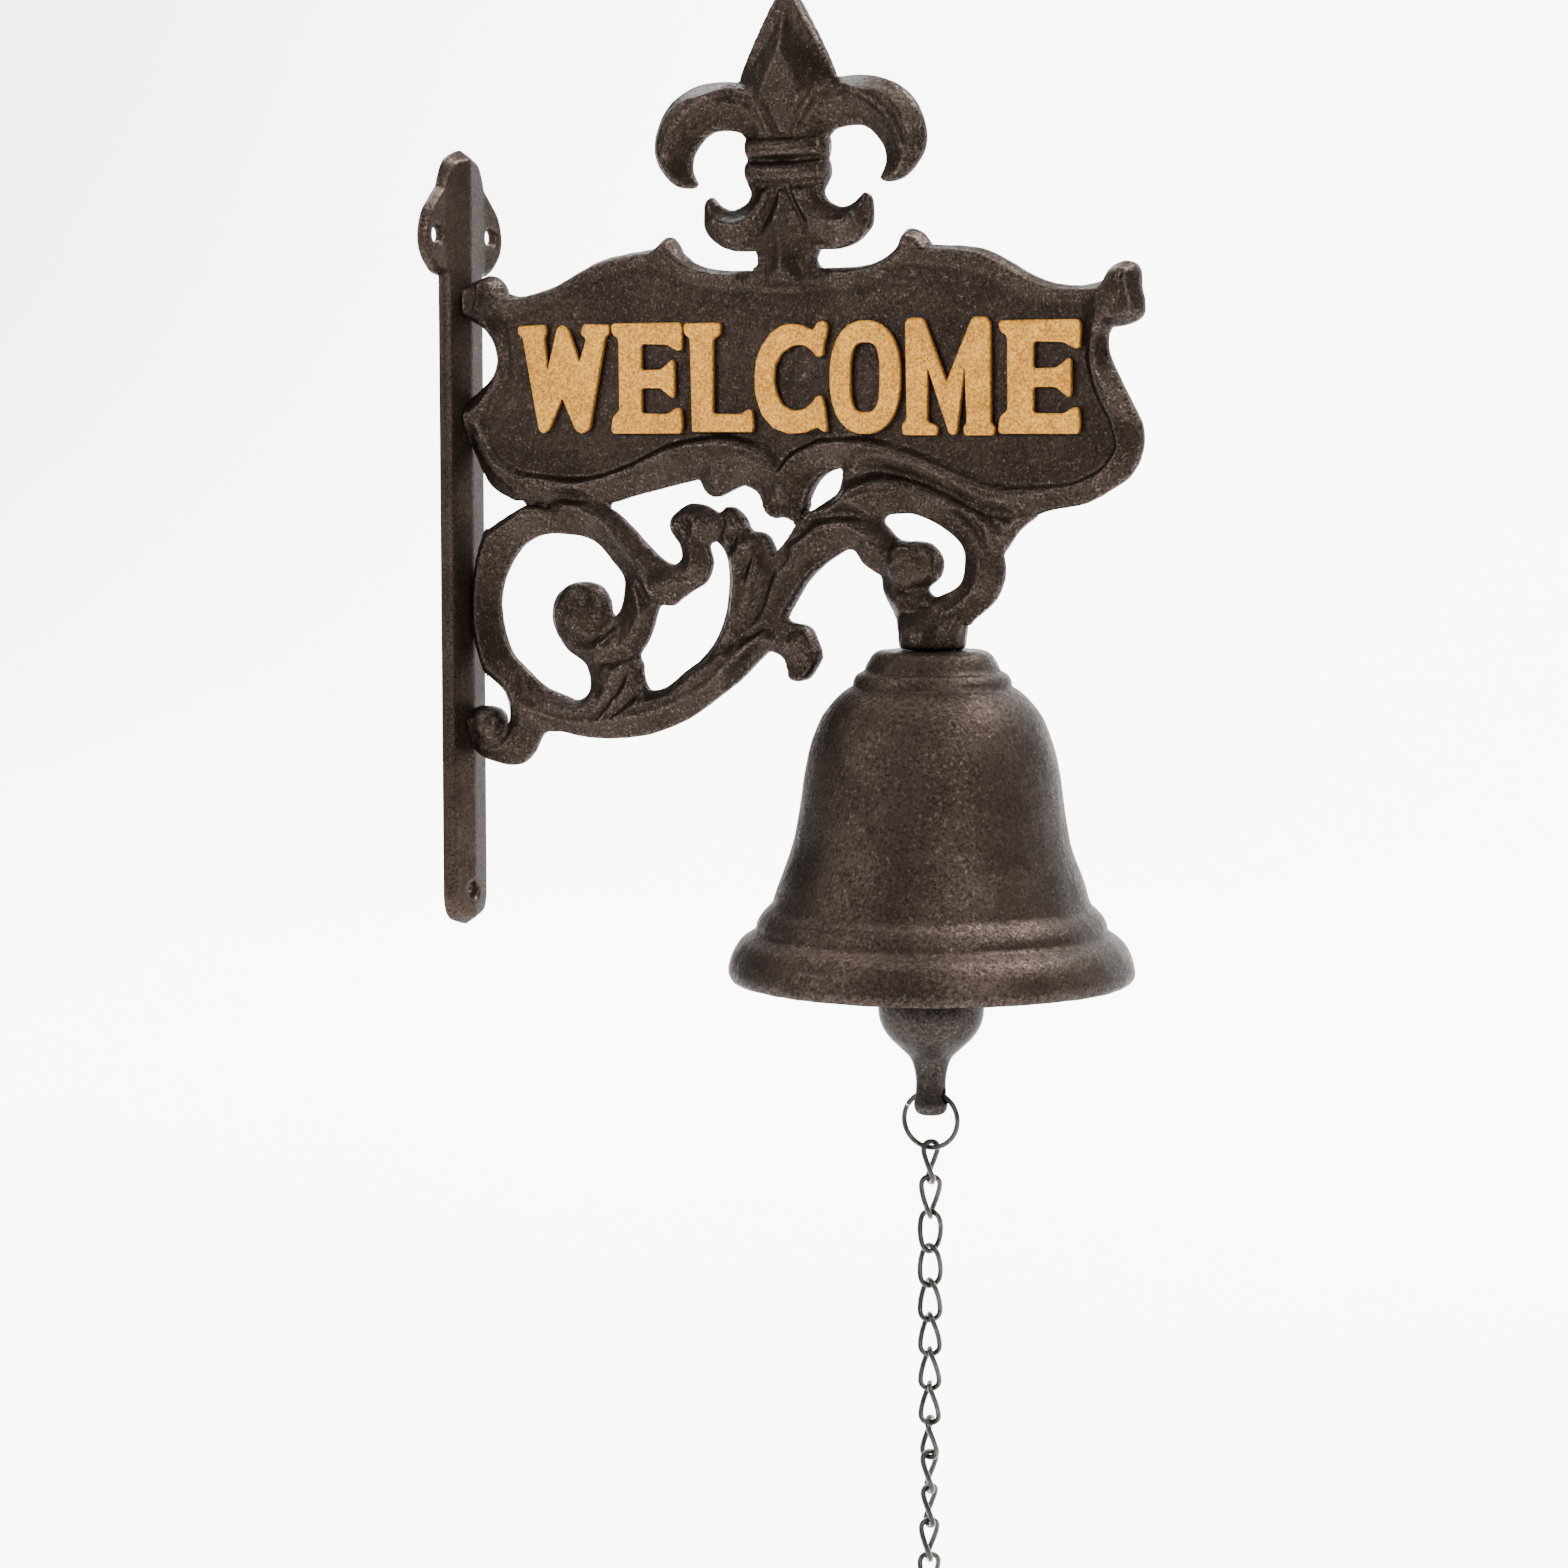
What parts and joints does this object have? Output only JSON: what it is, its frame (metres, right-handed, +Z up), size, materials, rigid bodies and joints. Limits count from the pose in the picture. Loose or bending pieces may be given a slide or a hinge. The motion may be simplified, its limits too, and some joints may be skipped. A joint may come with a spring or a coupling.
{
  "type": "wall mounted bell",
  "caption": "Cast-iron bell on a scrolled wall bracket under a greeting sign with a fleur-de-lis, rung by a swinging clapper on a hanging chain.",
  "frame": {"origin": "centre of the wall plate's flat back, on the wall", "axes": "+X out from the wall, +Z up, +Y across the thin bracket, so the sign lies in the XZ plane"},
  "size_m": [0.1975, 0.0998, 0.4241],
  "materials": {
    "cast_iron": "dark brown semi-gloss coating over a coarse sand-cast skin",
    "gold_paint": "granular antique-gold paint on raised cast letters",
    "clapper_iron": "blue-black, smoother than the bell",
    "black_steel": "blackened wire, worn bright where it rubs",
    "plain_steel": "zinc-plated steel, dulled"
  },
  "bodies": {
    "bracket": {"wall_plate": "cast_iron", "sign_panel": "cast_iron", "letter_front_w": "gold_paint", "letter_front_e1": "gold_paint", "letter_front_l": "gold_paint", "letter_front_c": "gold_paint", "letter_front_o": "gold_paint", "letter_front_m": "gold_paint", "letter_front_e2": "gold_paint", "letter_back_w": "gold_paint", "letter_back_e1": "gold_paint", "letter_back_l": "gold_paint", "letter_back_c": "gold_paint", "letter_back_o": "gold_paint", "letter_back_m": "gold_paint", "letter_back_e2": "gold_paint", "finial": "cast_iron", "scroll_bracket": "cast_iron", "hook_arm": "cast_iron", "hook_boss": "cast_iron", "bell_shell": "cast_iron", "crown_washer": "plain_steel", "crown_nut": "plain_steel", "bell_bolt": "plain_steel"},
    "hanger": {"hanger_link": "black_steel"},
    "clapper": {"clapper": "clapper_iron"},
    "ring": {"tail_ring": "black_steel"},
    "link_01": {"link_01": "black_steel"},
    "link_02": {"link_02": "black_steel"},
    "link_03": {"link_03": "black_steel"},
    "link_04": {"link_04": "black_steel"},
    "link_05": {"link_05": "black_steel"},
    "link_06": {"link_06": "black_steel"},
    "link_07": {"link_07": "black_steel"},
    "link_08": {"link_08": "black_steel"},
    "link_09": {"link_09": "black_steel"},
    "link_10": {"link_10": "black_steel"},
    "link_11": {"link_11": "black_steel"},
    "link_12": {"link_12": "black_steel"},
    "link_13": {"link_13": "black_steel"},
    "link_14": {"link_14": "black_steel"},
    "link_15": {"link_15": "black_steel"},
    "link_16": {"link_16": "black_steel"}
  },
  "joints": [
    {"name": "hanger_swing", "type": "hinge", "parent": "bracket", "child": "hanger", "pos_m": [0.1413, 0, -0.0495], "axis": [-0.1736, 0.9848, 0], "range_deg": [-28, 28]},
    {"name": "clapper_cross_swing", "type": "hinge", "parent": "hanger", "child": "clapper", "pos_m": [0.1413, 0, -0.058], "axis": [0.9848, 0.1736, 0], "range_deg": [-7, 7]},
    {"name": "ring_swing", "type": "hinge", "parent": "clapper", "child": "ring", "pos_m": [0.1413, 0, -0.13344], "axis": [0.9848, 0.1736, 0], "range_deg": [-60, 60]},
    {"name": "link_01_swing", "type": "hinge", "parent": "ring", "child": "link_01", "pos_m": [0.1413, 0, -0.14724], "axis": [-0.9848, -0.1736, 0], "range_deg": [-30, 30]},
    {"name": "link_02_swing", "type": "hinge", "parent": "link_01", "child": "link_02", "pos_m": [0.1413, 0, -0.15441], "axis": [-0.8572, -0.515, 0], "range_deg": [-30, 30]},
    {"name": "link_03_swing", "type": "hinge", "parent": "link_02", "child": "link_03", "pos_m": [0.1413, 0, -0.1646], "axis": [0.515, -0.8572, 0], "range_deg": [-30, 30]},
    {"name": "link_04_swing", "type": "hinge", "parent": "link_03", "child": "link_04", "pos_m": [0.1413, 0, -0.17175], "axis": [-0.8746, 0.4848, 0], "range_deg": [-30, 30]},
    {"name": "link_05_swing", "type": "hinge", "parent": "link_04", "child": "link_05", "pos_m": [0.1413, 0, -0.18194], "axis": [0.4848, 0.8746, 0], "range_deg": [-30, 30]},
    {"name": "link_06_swing", "type": "hinge", "parent": "link_05", "child": "link_06", "pos_m": [0.1413, 0, -0.18909], "axis": [0.5878, -0.809, 0], "range_deg": [-30, 30]},
    {"name": "link_07_swing", "type": "hinge", "parent": "link_06", "child": "link_07", "pos_m": [0.1413, 0, -0.19928], "axis": [-0.809, -0.5878, 0], "range_deg": [-30, 30]},
    {"name": "link_08_swing", "type": "hinge", "parent": "link_07", "child": "link_08", "pos_m": [0.1413, 0, -0.20643], "axis": [-0.3907, 0.9205, 0], "range_deg": [-30, 30]},
    {"name": "link_09_swing", "type": "hinge", "parent": "link_08", "child": "link_09", "pos_m": [0.1413, 0, -0.21662], "axis": [0.9205, 0.3907, 0], "range_deg": [-30, 30]},
    {"name": "link_10_swing", "type": "hinge", "parent": "link_09", "child": "link_10", "pos_m": [0.1413, 0, -0.22377], "axis": [-0.5299, -0.848, 0], "range_deg": [-30, 30]},
    {"name": "link_11_swing", "type": "hinge", "parent": "link_10", "child": "link_11", "pos_m": [0.1413, 0, -0.23396], "axis": [0.848, -0.5299, 0], "range_deg": [-30, 30]},
    {"name": "link_12_swing", "type": "hinge", "parent": "link_11", "child": "link_12", "pos_m": [0.1413, 0, -0.24111], "axis": [0.6947, 0.7193, 0], "range_deg": [-30, 30]},
    {"name": "link_13_swing", "type": "hinge", "parent": "link_12", "child": "link_13", "pos_m": [0.1413, 0, -0.2513], "axis": [-0.7193, 0.6947, 0], "range_deg": [-30, 30]},
    {"name": "link_14_swing", "type": "hinge", "parent": "link_13", "child": "link_14", "pos_m": [0.1413, 0, -0.25845], "axis": [-0.9659, -0.2588, 0], "range_deg": [-30, 30]},
    {"name": "link_15_swing", "type": "hinge", "parent": "link_14", "child": "link_15", "pos_m": [0.1413, 0, -0.26864], "axis": [0.2588, -0.9659, 0], "range_deg": [-30, 30]},
    {"name": "link_16_swing", "type": "hinge", "parent": "link_15", "child": "link_16", "pos_m": [0.1413, 0, -0.27579], "axis": [0.9659, -0.2588, 0], "range_deg": [-30, 30]}
  ]
}
